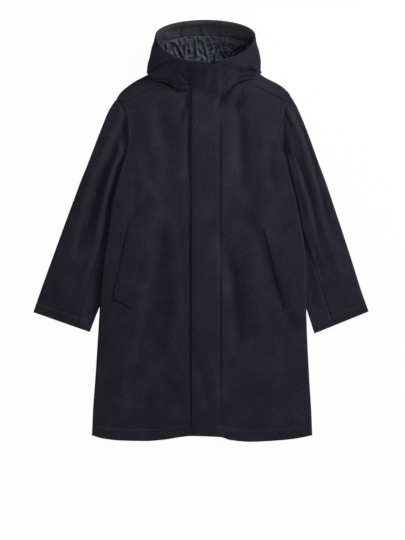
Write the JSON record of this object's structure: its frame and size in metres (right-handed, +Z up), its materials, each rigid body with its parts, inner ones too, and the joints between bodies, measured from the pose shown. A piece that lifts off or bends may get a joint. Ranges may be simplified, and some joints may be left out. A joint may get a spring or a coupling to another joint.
{
  "type": "hooded wool parka laid flat",
  "caption": "Knee-length hooded parka of thick navy wool, laid flat on its back: front placket, slanted welt pockets, set-in sleeves and a satin-lined hood standing open.",
  "frame": {"origin": "middle of the coat's length and width, on the surface that it lies on", "axes": "+X towards the wearer's left side, +Y from the hem to the hood, +Z up from the surface, out of the coat's front"},
  "size_m": [0.922, 1.1579, 0.0828],
  "materials": {
    "navy_melton": "matt, brushed wool melton",
    "navy_melton_facing": "matt, brushed wool melton",
    "slate_satin": "satin lining with a soft shine"
  },
  "bodies": {
    "root": {"back": "navy_melton", "front_right": "navy_melton", "front_left": "navy_melton", "placket": "navy_melton", "pocket_welt_right": "navy_melton", "pocket_welt_left": "navy_melton", "sleeve_right_top": "navy_melton", "sleeve_right_under": "navy_melton", "sleeve_left_top": "navy_melton", "sleeve_left_under": "navy_melton", "hood_side_right": "navy_melton", "hood_side_left": "navy_melton", "hood_centre": "navy_melton", "hood_facing_right": "navy_melton_facing", "hood_facing_centre": "navy_melton_facing", "hood_facing_left": "navy_melton_facing", "hood_lining_right": "slate_satin", "hood_lining_centre": "slate_satin", "hood_lining_left": "slate_satin"}
  },
  "joints": []
}
